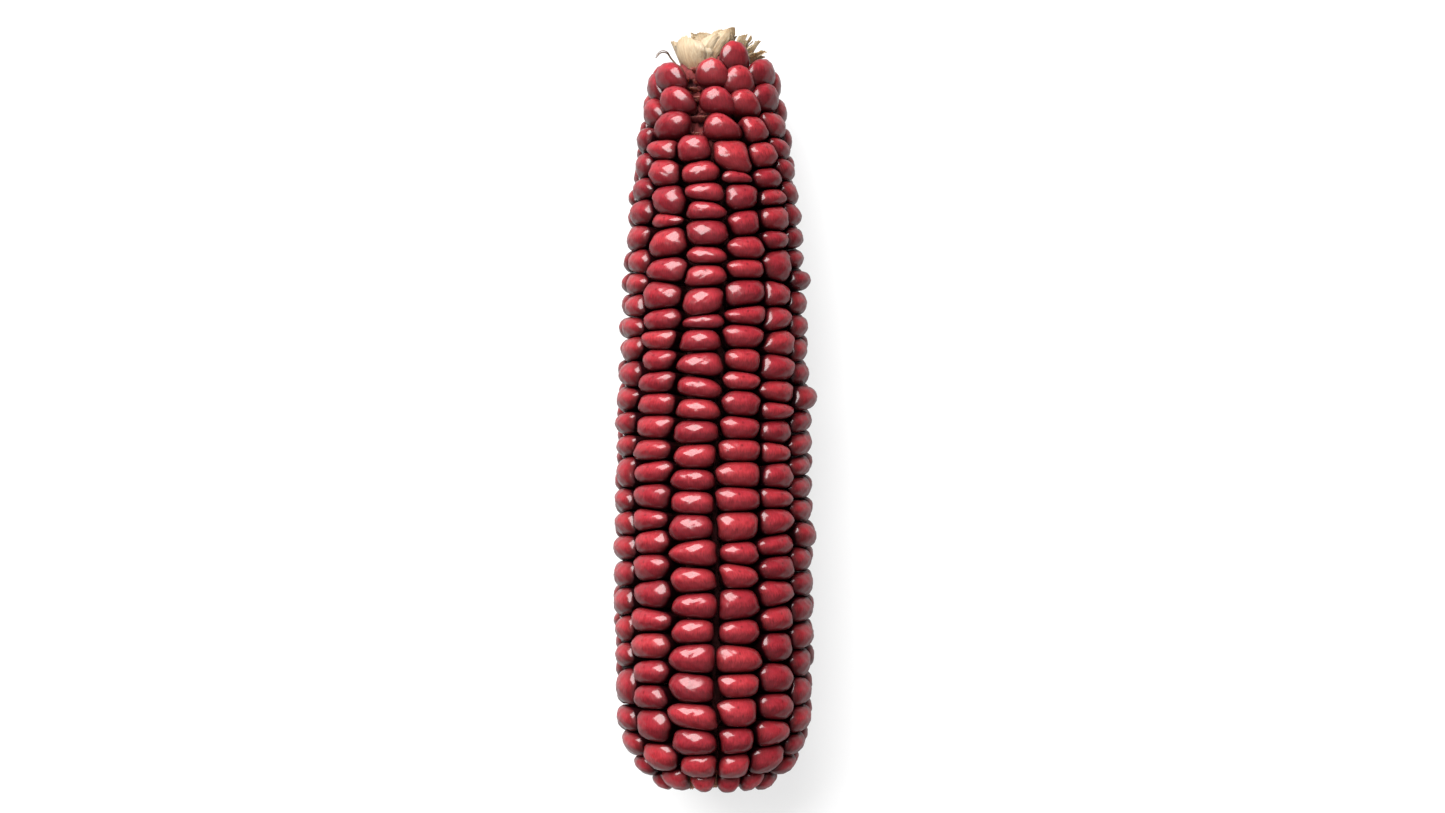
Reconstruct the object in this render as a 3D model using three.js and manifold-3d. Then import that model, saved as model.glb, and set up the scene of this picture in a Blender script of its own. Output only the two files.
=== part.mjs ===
// A dried ear of red flint corn, husked and lying on its side.
//
// Millimetres, +Z up. The ear rests on the plane z = 0 with its tip towards +Y, and the origin is
// under the middle of its bounding box. It is built in ear coordinates first:
//   s      distance along the cob's axis, 0 at the butt, towards the tip
//   angle  degrees round the axis, 0 on top (+Z) and 90 on the right (+X)
//   r      distance from the axis
// Twelve rows of kernels stand on a tapered cob. The kernels of a row press against each other up
// to near the tip, so each row is one solid; the last few kernels of a row stand loose, and each
// of those is a solid of its own. Papery glumes crown the cob's bare tip.
import * as THREE from "three";
import { mergeVertices } from "three/addons/utils/BufferGeometryUtils.js";
import Module from "manifold-3d";

const wasm = await Module();
wasm.setup();

// ---- Driving dimensions ----
const CROWN_RADIUS = 19.4; // axis to kernel crowns, at the widest
const BUTT_ROUNDING = 20; // length of the rounded butt end
const BUTT_POWER = 2.3; // squareness of that rounding: 2 is an ellipse
const TAPER_START = 45; // station where the taper to the tip begins
const TAPER_END = 142; // station where the taper is measured
const TAPER = [0.27, 0.1]; // share of the radius lost to the slow and the late taper
const COB_RADIUS = 10.8; // axis to the cob's surface, at the widest
const COB_TAPER = [0.25, 0.12];
const ROWS = 12;
const ROW_GAP = 0.4; // clear space between two rows
const COB_GAP = 0.8; // clear space under a row's edges; its flat base comes 0.4 mm nearer
const FIRST_STATION = 1.2; // where every row begins, at the butt
const SHOULDER = 0.76; // share of a kernel's depth at which its crown begins
const AXIS_HEIGHT = 18.75; // height of the axis above the floor at REST_STATION
const REST_STATION = 62; // near the centre of mass
const REST_TILT = 0.9; // degrees that the axis dips towards the tip

// Row boundaries lean a little off their even spacing, in degrees.
const BOUNDARY_SHIFT = [2, -1, -4, -2, 0, 0, 0, 0, 0, 0, 2, 2.5];
// The whole pattern of rows twists round the cob: [degrees, from station, to station].
const TWISTS = [[7, 60, 105], [-26, 112, 146]];
const WAVE = { degrees: 1.1, length: 34 }; // slow wander of each boundary
// Beyond the end of the last row its neighbours spread into its place, most those nearest to it.
const SPREAD = { degrees: 20, from: 125, to: 135, firstRow: 2 };

// For each row, from the first one right of the top: how many kernels press together, the station
// where they end, and the loose kernels beyond them: station, and turn away from the row.
const ROW_PLAN = [
  { count: 27, end: 127.3, loose: [[130.2, -2], [135.6, 0], [141.3, 0]] },
  { count: 28, end: 132.2, loose: [[135.2, 0], [139.9, 0], [144.9, 0]] },
  { count: 29, end: 133.4, loose: [[136.6, 0], [141.6, 4]] },
  { count: 28, end: 131.0, loose: [[134.1, -1], [139.4, -2]] },
  { count: 30, end: 133.0, loose: [[136.2, 0], [141.4, 3]] },
  { count: 29, end: 130.2, loose: [[133.4, 0], [138.6, -3]] },
  { count: 28, end: 132.0, loose: [[135.2, 0], [140.6, 2]] },
  { count: 29, end: 130.8, loose: [[133.9, 0], [139.2, -3]] },
  { count: 30, end: 132.6, loose: [[135.8, 0], [141.4, -4]] },
  { count: 27, end: 130.6, loose: [[133.8, 0], [139.0, -6]] },
  { count: 27, end: 127.6, loose: [[130.7, 0], [135.8, 0], [140.8, -9]] },
  { count: 28, end: 128.6, loose: [] },
];
// Kernels that grew squeezed or fat: row, then kernel counted from the butt, then its share of the
// usual thickness.
const ODD_THICKNESS = {
  0: { 1: 1.15, 4: 0.85, 7: 1.15, 9: 0.9, 10: 1.2, 12: 1.05, 16: 0.75, 19: 0.75, 20: 1.15, 21: 0.8,
    25: 0.45, 26: 1.25 },
  1: { 0: 1.25, 1: 1.25, 5: 1.15, 11: 0.85, 13: 0.85, 15: 0.75, 17: 1.1, 21: 1.4, 22: 0.8, 24: 0.75 },
  9: { 4: 1.3, 12: 1.3, 18: 0.85, 24: 0.9 },
  10: { 0: 1.35, 1: 1.25, 2: 1.2, 3: 0.85, 18: 0.8, 20: 1.15, 22: 1.3, 23: 0.55, 24: 1.25, 26: 0.8 },
  11: { 1: 1.1, 4: 1.1, 19: 0.6, 20: 1.2, 22: 0.8, 23: 1.15, 24: 0.8, 25: 0.8, 27: 1.15 },
};
// Kernels that stand proud of their row, in millimetres.
const PROUD = { 2: { 10: 0.7, 16: 1.2, 21: 1.2 }, 9: { 14: 0.6 } };

// ---- Small maths ----
const radians = THREE.MathUtils.degToRad;
const lerp = THREE.MathUtils.lerp;
const smooth = THREE.MathUtils.smoothstep; // smooth(x, low, high)

// The same pseudo-random number from 0 to 1 for the same three whole numbers.
function chance(a, b, c) {
  const x = Math.sin(a * 12.9898 + b * 78.233 + c * 37.719) * 43758.5453;
  return x - Math.floor(x);
}

// ---- The ear's profile ----
function taper(s, shares) {
  const t = Math.max(0, (s - TAPER_START) / (TAPER_END - TAPER_START));
  return 1 - shares[0] * t ** 2 - shares[1] * t ** 8;
}

function crownRadius(s) {
  const fromRound = Math.max(0, 1 - s / BUTT_ROUNDING);
  const rounding = (1 - fromRound ** BUTT_POWER) ** (1 / BUTT_POWER);
  return CROWN_RADIUS * rounding * taper(s, TAPER);
}

function cobRadius(s) {
  return COB_RADIUS * (0.83 + 0.17 * smooth(s, 3, 20)) * taper(s, COB_TAPER);
}

// Where a kernel whose crown is at station s has its foot: kernels fan out at the butt and lean
// forward at the tip.
function footStation(s) {
  return s + 5.2 * Math.exp(-s / 9) - 3.4 * Math.exp((s - TAPER_END) / 11) - 0.5;
}

// Length along the crown profile against station, so that kernels are spaced along the surface.
const STEP = 0.1;
const arc = [0];
for (let s = FIRST_STATION; s < 150; s += STEP) {
  const rise = crownRadius(s + STEP) - crownRadius(s);
  arc.push(arc.at(-1) + Math.hypot(STEP, rise));
}

function lengthAt(s) {
  const i = (s - FIRST_STATION) / STEP;
  return lerp(arc[Math.floor(i)], arc[Math.floor(i) + 1], i - Math.floor(i));
}

function stationAt(length) {
  const i = Math.max(0, arc.findIndex((a) => a > length) - 1);
  return FIRST_STATION + STEP * (i + (length - arc[i]) / (arc[i + 1] - arc[i]));
}

// ---- Rows ----
// The angle of the boundary on the low side of a row; row 12 is row 0 again, a turn later.
function boundary(row, s) {
  const k = row % ROWS;
  const turn = 360 * Math.floor(row / ROWS);
  const twist = TWISTS.reduce((sum, [degrees, from, to]) => sum + degrees * smooth(s, from, to), 0);
  const wave = WAVE.degrees * Math.sin((2 * Math.PI * s) / WAVE.length + 2.4 * k);
  const nearness = Math.max(0, (k - SPREAD.firstRow) / (ROWS - 1 - SPREAD.firstRow));
  const spread = SPREAD.degrees * nearness * smooth(s, SPREAD.from, SPREAD.to);
  return turn + (360 / ROWS) * k + BOUNDARY_SHIFT[k] + twist + wave + spread;
}

// Kernels are thickest at the butt and thinnest in the upper middle of the ear.
function usualThickness(share) {
  return 0.95 + 0.25 * (1 - smooth(share, 0, 0.45)) + 0.1 * smooth(share, 0.85, 1);
}

// A row's kernels: where each begins and ends along the crown profile, the slants of those two
// edges, and how far its crown stands above the profile.
function kernelsOf(row) {
  const { count, end, loose } = ROW_PLAN[row];
  const odd = ODD_THICKNESS[row] ?? {};
  const proud = PROUD[row] ?? {};
  const thickness = Array.from({ length: count }, (_, i) =>
    (odd[i] ?? 0.9 + 0.2 * chance(row, i, 1)) * usualThickness(i / count));
  const unit = lengthAt(end) / thickness.reduce((a, b) => a + b);
  const kernels = [];
  let from = 0;
  for (let i = 0; i < count; i++) {
    const to = from + unit * thickness[i];
    const squeezed = thickness[i] < 0.65 ? -0.7 : 0;
    const rise = (chance(row, i, 2) - 0.5) * 0.6 + squeezed + (proud[i] ?? 0);
    kernels.push({ row, index: i, from, to, rise, loose: false });
    from = to;
  }
  loose.forEach(([station, turn], j) => {
    const half = 2.45 + 0.2 * chance(row, j, 5);
    const middle = lengthAt(station);
    const rise = (chance(row, j, 6) - 0.5) * 0.4;
    const [from, to] = [middle - half, middle + half];
    kernels.push({ row, index: count + j, from, to, rise, loose: true, turn });
  });
  return kernels;
}

// Half the difference in station between the two ends of the edge before kernel i.
function slant(row, i) {
  const { count } = ROW_PLAN[row];
  return i === 0 || i >= count ? 0 : (chance(row, i, 3) - 0.5) * 1.1;
}

// ---- Points ----
const AXIS = new THREE.Vector3(0, 1, 0);

function point(r, angle, s) {
  return new THREE.Vector3(r * Math.sin(radians(angle)), s, r * Math.cos(radians(angle)));
}

// A point of a row: side -1 to 1 across it, length along the crown profile, and depth 0 at the
// cob to 1 at the crown, with rise millimetres above that.
function rowPoint(row, side, length, depth, rise = 0) {
  const s = stationAt(length);
  const foot = footStation(s);
  const r = lerp(cobRadius(foot) + COB_GAP, crownRadius(s) + rise, depth);
  const clear = (ROW_GAP / 2 / r) * (180 / Math.PI);
  const low = boundary(row, s) + clear;
  const high = boundary(row + 1, s) - clear;
  return point(r, lerp(low, high, (side + 1) / 2), lerp(foot, s, depth));
}

// ---- Solids ----
// Collects corners and faces. A face is a list of corner numbers, anticlockwise from outside.
class Faces {
  constructor() {
    this.corners = [];
    this.triangles = [];
  }
  corner(p) {
    return this.corners.push(p) - 1;
  }
  face(...c) {
    for (let i = 2; i < c.length; i++) this.triangles.push(c[0], c[i - 1], c[i]);
  }
  geometry() {
    const g = new THREE.BufferGeometry().setFromPoints(this.corners);
    g.setIndex(this.triangles);
    g.computeVertexNormals();
    return g;
  }
}

// The pressed kernels of one row as one solid: a bar on the cob, cut by a valley between each two
// kernels, with a six-sided crown on each kernel.
function rowGeometry(row) {
  const kernels = kernelsOf(row).filter((k) => !k.loose);
  const f = new Faces();
  const cuts = [...kernels.map((k) => k.from), kernels.at(-1).to].map((length, i) => {
    const lean = slant(row, i);
    return {
      footLow: f.corner(rowPoint(row, -1, length, 0)),
      footHigh: f.corner(rowPoint(row, 1, length, 0)),
      low: f.corner(rowPoint(row, -1, length + lean, SHOULDER)),
      high: f.corner(rowPoint(row, 1, length - lean, SHOULDER)),
    };
  });
  kernels.forEach(({ index: i, from, to, rise }) => {
    const [a, b] = [cuts[i], cuts[i + 1]];
    const crown = (side, share) => {
      const lean = -side * lerp(slant(row, i), slant(row, i + 1), share);
      return f.corner(rowPoint(row, side, lerp(from, to, share) + lean, 1, rise));
    };
    const [low1, low2, low3] = [crown(-0.6, 0.24), crown(-0.76, 0.5), crown(-0.6, 0.76)];
    const [high1, high2, high3] = [crown(0.6, 0.24), crown(0.76, 0.5), crown(0.6, 0.76)];
    f.face(a.footLow, b.footLow, b.footHigh, a.footHigh);
    f.face(a.footLow, a.low, b.low, b.footLow);
    f.face(a.footHigh, b.footHigh, b.high, a.high);
    f.face(a.low, a.high, high1, low1);
    f.face(low3, high3, b.high, b.low);
    f.face(low2, low3, b.low, a.low, low1);
    f.face(high2, high1, a.high, b.high, high3);
    f.face(low1, high1, high2, high3, low3, low2);
  });
  const [first, last] = [cuts[0], cuts.at(-1)];
  f.face(first.footLow, first.footHigh, first.high, first.low);
  f.face(last.footLow, last.low, last.high, last.footHigh);
  return f.geometry();
}

// A loose kernel: a narrow foot, a wide eight-sided shoulder and a rounded crown.
function looseGeometry({ row, from, to, rise, turn }) {
  const SIDES = 8;
  // Each ring: its depth, and its half-widths as shares of the kernel's cell.
  const rings = [[0.08, 0.55, 0.5], [0.62, 0.94, 1], [0.88, 0.76, 0.8], [1, 0.4, 0.4]];
  const f = new Faces();
  const ringCorners = rings.map(([depth, across, along], level) =>
    Array.from({ length: SIDES }, (_, i) => {
      const around = ((i + 0.5) / SIDES) * 2 * Math.PI;
      const side = across * Math.cos(around);
      const length = lerp(from, to, 0.5 + 0.5 * along * Math.sin(around));
      const p = rowPoint(row, side, length, depth, level > 1 ? rise : 0);
      return f.corner(p.applyAxisAngle(AXIS, radians(turn)));
    }));
  for (let level = 1; level < rings.length; level++) {
    const [lower, upper] = [ringCorners[level - 1], ringCorners[level]];
    lower.forEach((corner, i) => {
      const j = (i + 1) % SIDES;
      f.face(corner, lower[j], upper[j], upper[i]);
    });
  }
  f.face(...ringCorners.at(-1));
  f.face(...ringCorners[0].slice().reverse());
  return f.geometry();
}

// The cob: a tapered core with the shank's scar at the butt and a domed bare tip.
function cobGeometry() {
  const SIDES = 24;
  const butt = [[0, 3.4], [4.6, 3.4], [5.6, 4], [8.2, 4.6]];
  const body = [6.5, 12, 20, 45, 75, 95, 110, 122, 130, 136, 140].map((s) => [cobRadius(s), s]);
  const tip = [[6.2, 142.6], [4.6, 144.7], [2.4, 145.9], [0, 146.3]];
  const profile = [...butt, ...body, ...tip].map(([r, s]) => new THREE.Vector2(r, s));
  return new THREE.LatheGeometry(profile, SIDES);
}

// ---- The papery tip ----
// A glume is a cupped scale: a lens-shaped section swept up a curve in the plane of its angle.
// path holds three [r, s] points of that curve, and width is its widest. bend turns its upper end
// round the axis, in degrees.
const GLUME_THICKNESS = 0.7;

function glumeGeometry({ angle, path, width, bend = 0 }) {
  const STATIONS = 6;
  const curve = new THREE.QuadraticBezierCurve(...path.map(([r, s]) => new THREE.Vector2(r, s)));
  const f = new Faces();
  const sections = Array.from({ length: STATIONS }, (_, i) => {
    const t = i / (STATIONS - 1);
    const at = curve.getPoint(t);
    const along = curve.getTangent(t);
    const half = (width / 2) * Math.sin(Math.PI * lerp(0.22, 0.88, t));
    const thick = (GLUME_THICKNESS / 2) * lerp(1, 0.6, t);
    // [across, outward]: the two edges cup inwards.
    const outline = [[-1, -0.9], [-0.45, -1], [0.45, -1], [1, -0.9], [0.45, 1], [-0.45, 1]];
    return outline.map(([across, out]) => {
      const r = at.x + out * thick * along.y;
      const s = at.y - out * thick * along.x;
      const turn = angle + bend * t;
      const side = new THREE.Vector3(Math.cos(radians(turn)), 0, -Math.sin(radians(turn)));
      return f.corner(point(r, turn, s).addScaledVector(side, across * half));
    });
  });
  for (let i = 1; i < STATIONS; i++) {
    sections[i].forEach((corner, j) => {
      const k = (j + 1) % sections[i].length;
      f.face(corner, sections[i][k], sections[i - 1][k], sections[i - 1][j]);
    });
  }
  f.face(...sections[0]);
  f.face(...sections.at(-1).slice().reverse());
  return f.geometry();
}

// A torn glume: a flat blade with a forked end.
function tornGlumeGeometry({ angle, foot, lean, length, width }) {
  const outline = [
    [-0.2, 0], [0.25, 0], [0.4, 0.4], [0.5, 0.75], [0.3, 1], [0.22, 0.78], [0.02, 0.58],
    [-0.2, 0.66], [-0.42, 0.92], [-0.5, 0.7], [-0.36, 0.35],
  ].map(([x, y]) => new THREE.Vector2(x * width, y * length));
  const g = new THREE.ExtrudeGeometry(new THREE.Shape(outline), {
    depth: GLUME_THICKNESS, bevelEnabled: false, steps: 1,
  });
  g.rotateX(radians(lean));
  g.translate(0, foot[1], foot[0]);
  return g.rotateY(radians(angle));
}

const OUTER_GLUMES = [
  { angle: -52, path: [[6.9, 142.2], [7.6, 146.6], [8.2, 148.2]], width: 6.2, bend: 4 },
  { angle: -6, path: [[6.9, 143.6], [7.0, 147.2], [5.6, 149.4]], width: 4.6, bend: 26 },
  { angle: 92, path: [[6.9, 142.4], [7.6, 146.2], [9.4, 147.6]], width: 5.2 },
  { angle: 132, path: [[6.9, 142.4], [7.4, 146.4], [8.6, 148.4]], width: 5.0 },
  { angle: 172, path: [[6.9, 142.4], [7.5, 146.2], [9.0, 148.0]], width: 5.4 },
  { angle: 214, path: [[6.9, 142.4], [7.3, 146.6], [8.2, 149.0]], width: 5.2 },
  { angle: 258, path: [[6.9, 142.4], [7.6, 146.0], [9.6, 147.2]], width: 5.6 },
];
const INNER_GLUMES = [
  { angle: -38, path: [[4.4, 145.7], [4.6, 148.2], [5.2, 149.6]], width: 4.0, bend: 12 },
  { angle: 40, path: [[4.3, 145.8], [4.4, 148.4], [4.8, 150.0]], width: 4.0, bend: 10 },
  { angle: 150, path: [[4.4, 145.7], [4.6, 148.0], [5.2, 149.2]], width: 4.2, bend: 8 },
  { angle: 235, path: [[4.4, 145.7], [4.5, 148.2], [5.0, 149.4]], width: 4.0, bend: 8 },
];
const TORN_GLUMES = [
  { angle: 47, foot: [6.7, 144.4], lean: 22, length: 5.2, width: 4.6 },
  { angle: 70, foot: [7.0, 142.6], lean: 42, length: 5.4, width: 4.4 },
];

// A dry strand of silk, left between two glumes.
const SILK_RADIUS = 0.25;
const SILK_PATH = [[8.7, -84, 144.2], [9.6, -80, 145.8], [11.0, -77, 146.0], [12.4, -74, 145.0]];

function silkGeometry() {
  const curve = new THREE.CatmullRomCurve3(SILK_PATH.map(([r, angle, s]) => point(r, angle, s)));
  const section = new THREE.Shape();
  section.absarc(0, 0, SILK_RADIUS, 0, 2 * Math.PI);
  return new THREE.ExtrudeGeometry(section, { steps: 8, curveSegments: 3, extrudePath: curve });
}

// ---- Placing the ear on the floor ----
const onFloor = new THREE.Matrix4()
  .makeTranslation(0, REST_STATION, AXIS_HEIGHT)
  .multiply(new THREE.Matrix4().makeRotationX(radians(-REST_TILT)))
  .multiply(new THREE.Matrix4().makeTranslation(0, -REST_STATION, 0));

function solidOf(geometry) {
  const bare = new THREE.BufferGeometry().setAttribute("position", geometry.attributes.position);
  if (geometry.index) bare.setIndex(geometry.index);
  const merged = mergeVertices(bare, 1e-4);
  return new wasm.Manifold(new wasm.Mesh({
    numProp: 3,
    vertProperties: new Float32Array(merged.attributes.position.array),
    triVerts: new Uint32Array(merged.index.array),
  }));
}

// Kernels bear on the floor with the flats that their crowns have there.
const FLOOR = [80, 200, 10];
const floor = solidOf(new THREE.BoxGeometry(...FLOOR).translate(0, FLOOR[1] / 2 - 20, -FLOOR[2] / 2));

function laidDown(geometry) {
  geometry.applyMatrix4(onFloor);
  geometry.computeBoundingBox();
  if (geometry.boundingBox.min.z >= 0) return geometry;
  const mesh = solidOf(geometry).subtract(floor).getMesh();
  const positions = new Float32Array(mesh.vertProperties);
  const cut = new THREE.BufferGeometry();
  cut.setAttribute("position", new THREE.BufferAttribute(positions, 3));
  cut.setIndex(new THREE.BufferAttribute(new Uint32Array(mesh.triVerts), 1));
  cut.computeVertexNormals();
  return cut;
}

// ---- Materials and assembly ----
const material = (color, roughness) =>
  new THREE.MeshStandardMaterial({ color, roughness, metalness: 0 });
const kernelSkin = material(0xbb3a47, 0.25);
const cobChaff = material(0x8a3638, 0.9);
const paperyChaff = material(0xdcc9a8, 0.85);
const drySilk = material(0x4a3226, 0.6);

const ear = new THREE.Group();
const two = (n) => String(n).padStart(2, "0");

function add(name, geometry, skin) {
  const mesh = new THREE.Mesh(laidDown(geometry), skin);
  mesh.name = name;
  ear.add(mesh);
}

add("cob", cobGeometry(), cobChaff);
const looseKernels = [];
for (let row = 0; row < ROWS; row++) {
  add(`kernel_row_${two(row + 1)}`, rowGeometry(row), kernelSkin);
  looseKernels.push(...kernelsOf(row).filter((k) => k.loose));
}
looseKernels.forEach((k, i) => add(`tip_kernel_${two(i + 1)}`, looseGeometry(k), kernelSkin));
OUTER_GLUMES.forEach((g, i) => add(`outer_glume_${i + 1}`, glumeGeometry(g), paperyChaff));
INNER_GLUMES.forEach((g, i) => add(`inner_glume_${i + 1}`, glumeGeometry(g), paperyChaff));
TORN_GLUMES.forEach((g, i) => add(`torn_glume_${i + 1}`, tornGlumeGeometry(g), paperyChaff));
add("silk_strand", silkGeometry(), drySilk);

// The origin goes under the middle of the ear.
const middle = new THREE.Box3().setFromObject(ear).getCenter(new THREE.Vector3());
ear.position.set(-middle.x, -middle.y, 0);

export default ear;
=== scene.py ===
"""A dried ear of red flint corn, husked, lying on a pale floor.

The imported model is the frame. The ear is built in ear coordinates, in millimetres, as the CAD
source builds it, and laid down in the frame, in metres, by EAR:
  s      distance along the cob's axis, 0 at the butt, towards the tip
  angle  degrees round the axis, 0 on top and 90 on the right (+X)
  r      distance from the axis
"""

import math

import bpy
import numpy as np
from mathutils import Matrix, Vector


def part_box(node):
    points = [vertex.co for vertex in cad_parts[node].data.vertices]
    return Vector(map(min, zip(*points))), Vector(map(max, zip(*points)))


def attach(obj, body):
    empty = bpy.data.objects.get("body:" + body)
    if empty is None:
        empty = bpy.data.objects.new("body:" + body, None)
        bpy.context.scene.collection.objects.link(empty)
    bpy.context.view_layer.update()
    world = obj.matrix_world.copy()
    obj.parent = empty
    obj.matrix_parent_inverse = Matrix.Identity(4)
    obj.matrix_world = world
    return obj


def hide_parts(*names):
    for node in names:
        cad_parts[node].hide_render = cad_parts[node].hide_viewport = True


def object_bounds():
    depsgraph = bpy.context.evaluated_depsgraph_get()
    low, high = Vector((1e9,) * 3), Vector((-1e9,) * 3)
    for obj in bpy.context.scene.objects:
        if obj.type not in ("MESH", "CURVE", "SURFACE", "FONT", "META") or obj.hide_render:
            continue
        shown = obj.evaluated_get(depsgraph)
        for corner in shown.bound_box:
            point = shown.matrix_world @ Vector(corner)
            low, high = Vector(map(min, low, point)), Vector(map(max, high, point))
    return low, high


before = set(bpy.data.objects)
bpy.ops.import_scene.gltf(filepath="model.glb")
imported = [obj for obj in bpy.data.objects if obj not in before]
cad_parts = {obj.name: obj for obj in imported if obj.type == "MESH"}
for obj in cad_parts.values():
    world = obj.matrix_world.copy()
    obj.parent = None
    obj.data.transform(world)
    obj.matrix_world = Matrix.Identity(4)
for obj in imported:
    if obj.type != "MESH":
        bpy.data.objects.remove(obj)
cad_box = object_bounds()

MM = 0.001

# ---- Driving dimensions, the same as the CAD source's ----
CROWN_RADIUS = 19.4  # axis to kernel crowns, at the widest
BUTT_ROUNDING = 20  # length of the rounded butt end
BUTT_POWER = 2.3  # squareness of that rounding: 2 is an ellipse
TAPER_START = 45  # station where the taper to the tip begins
TAPER_END = 142  # station where the taper is measured
TAPER = (0.27, 0.1)  # share of the radius lost to the slow and the late taper
COB_RADIUS = 10.8  # axis to the cob's surface, at the widest
COB_TAPER = (0.25, 0.12)
COB_BUTT = (0.83, 0.17)  # the cob's share of its radius at the butt, and the share it gains
COB_FULL_FROM, COB_FULL_AT = 3, 20
COB_TIP = 146.3
ROWS = 12
COB_GAP = 0.8  # clear space under a row's edges
FIRST_STATION = 1.2  # where every row begins, at the butt
LAST_STATION = 152  # beyond the last kernel
BUTT_LEAN, BUTT_LEAN_FADE = 5.2, 9  # how far kernels fan out at the butt
TIP_LEAN, TIP_LEAN_FADE = 3.4, 11  # how far they lean forward at the tip
FOOT_BACK = 0.5  # how far every foot is set back
AXIS_HEIGHT = 18.75  # height of the axis above the floor at REST_STATION
REST_STATION = 62
REST_TILT = 0.9  # degrees that the axis dips towards the tip
# Degrees that the boundary on the low side of each row is off its even place.
BOUNDARY_SHIFT = (2, -1, -4, -2, 0, 0, 0, 0, 0, 0, 2, 2.5)
TWISTS = ((7, 60, 105), (-26, 112, 146))  # degrees that all rows turn, between two stations
WAVE_DEGREES = 1.1  # slow wander of each boundary
WAVE_LENGTH = 34
WAVE_SHIFT = 2.4  # radians from one boundary's wave to the next one's
# Beyond the end of the last row its neighbours spread into its place, most those nearest to it.
SPREAD_DEGREES = 20
SPREAD_FROM = 125
SPREAD_TO = 135
SPREAD_FIRST_ROW = 2

# For each row: how many kernels press together, the station where they end, and the loose kernels
# beyond them, each with its station and its turn away from the row.
ROW_PLAN = (
    (27, 127.3, ((130.2, -2), (135.6, 0), (141.3, 0))),
    (28, 132.2, ((135.2, 0), (139.9, 0), (144.9, 0))),
    (29, 133.4, ((136.6, 0), (141.6, 4))),
    (28, 131.0, ((134.1, -1), (139.4, -2))),
    (30, 133.0, ((136.2, 0), (141.4, 3))),
    (29, 130.2, ((133.4, 0), (138.6, -3))),
    (28, 132.0, ((135.2, 0), (140.6, 2))),
    (29, 130.8, ((133.9, 0), (139.2, -3))),
    (30, 132.6, ((135.8, 0), (141.4, -4))),
    (27, 130.6, ((133.8, 0), (139.0, -6))),
    (27, 127.6, ((130.7, 0), (135.8, 0), (140.8, -9))),
    (28, 128.6, ()),
)
# Kernels that grew squeezed or fat: row, then kernel counted from the butt, then its share of the
# usual thickness.
ODD_THICKNESS = {
    0: {1: 1.15, 4: 0.85, 7: 1.15, 9: 0.9, 10: 1.2, 12: 1.05, 16: 0.75, 19: 0.75, 20: 1.15,
        21: 0.8, 25: 0.45, 26: 1.25},
    1: {0: 1.25, 1: 1.25, 5: 1.15, 11: 0.85, 13: 0.85, 15: 0.75, 17: 1.1, 21: 1.4, 22: 0.8,
        24: 0.75},
    9: {4: 1.3, 12: 1.3, 18: 0.85, 24: 0.9},
    10: {0: 1.35, 1: 1.25, 2: 1.2, 3: 0.85, 18: 0.8, 20: 1.15, 22: 1.3, 23: 0.55, 24: 1.25,
         26: 0.8},
    11: {1: 1.1, 4: 1.1, 19: 0.6, 20: 1.2, 22: 0.8, 23: 1.15, 24: 0.8, 25: 0.8, 27: 1.15},
}
# Kernels that stand proud of their row, in millimetres.
PROUD = {2: {10: 0.7, 16: 1.2, 21: 1.2}, 9: {14: 0.6}}
SQUEEZED = 0.65  # a kernel thinner than this share stands lower
SQUEEZED_RISE = -0.7
PRESSED_UNEVEN = 0.6  # the spread of how far pressed kernels stand over the profile
LOOSE_UNEVEN = 0.4
LOOSE_HALF = 2.45  # half a loose kernel's length along the row, at the least
SLANT = 1.1  # the spread of the slants of the edges between two kernels

# ---- Kernel shape ----
SEGMENTS = 44  # points round a kernel
CROWN_RINGS = 10
SIDE_RINGS = 5
CLEAR = 0.05  # space left at each side of a kernel's cell
PEAK = 0.3  # how far a crown's middle stands over the ear's profile
FOOT_SINK = 1.2  # how far a foot reaches below the CAD row's base, into the cob
NOTCH = 0.46  # how far a kernel pushes into the joint between its two neighbours
NOTCH_WIDTH = 1.0
THIN = 2.1  # half the length below which a kernel's crown is flatter
# Pressed kernels are boxy and keep their width down to the foot; loose ones are rounder, and taper.
# shoulder  from the peak down to the widest outline
# outer     the least and the most squareness of that outline, across the row and along it
# crown     the same for the dome over it
# narrows   the share of its width lost at the foot, across the row and along it
PRESSED = {
    "shoulder": 1.9, "outer": ((4.2, 6), (3.2, 4.2)), "crown": ((2.2, 2.6), (2.05, 2.25)),
    "narrows": (0.10, 0.04),
}
LOOSE = {
    "shoulder": 2.4, "outer": ((3.0, 3.0), (2.9, 2.9)), "crown": ((2.2, 2.2), (2.2, 2.2)),
    "narrows": (0.42, 0.45),
}
CROWN_SQUARENESS = 2.1, 2.05  # of the outline near the peak, across the row and along it
# How far loose kernels swell into the room around them: across the row, from one station to
# another, and along it.
STOUT = (1.36, 1.62)
STOUT_FROM, STOUT_TO = 137, 145
STOUT_ALONG = 1.16


# ---- Small maths ----
def smooth(x, low, high):
    t = np.clip((np.asarray(x, float) - low) / (high - low), 0, 1)
    return t * t * (3 - 2 * t)


def lerp(a, b, t):
    return a + (b - a) * t


def chance(a, b, c):
    """The same pseudo-random number from 0 to 1 for the same three whole numbers."""
    x = math.sin(a * 12.9898 + b * 78.233 + c * 37.719) * 43758.5453
    return x - math.floor(x)


# ---- The ear's profile and rows, as in the CAD source ----
def taper(s, shares):
    t = np.maximum(0, (np.asarray(s, float) - TAPER_START) / (TAPER_END - TAPER_START))
    return 1 - shares[0] * t**2 - shares[1] * t**8


def crown_radius(s):
    from_round = np.maximum(0, 1 - np.asarray(s, float) / BUTT_ROUNDING)
    rounding = np.maximum(0, 1 - from_round**BUTT_POWER) ** (1 / BUTT_POWER)
    return CROWN_RADIUS * rounding * taper(s, TAPER)


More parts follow.
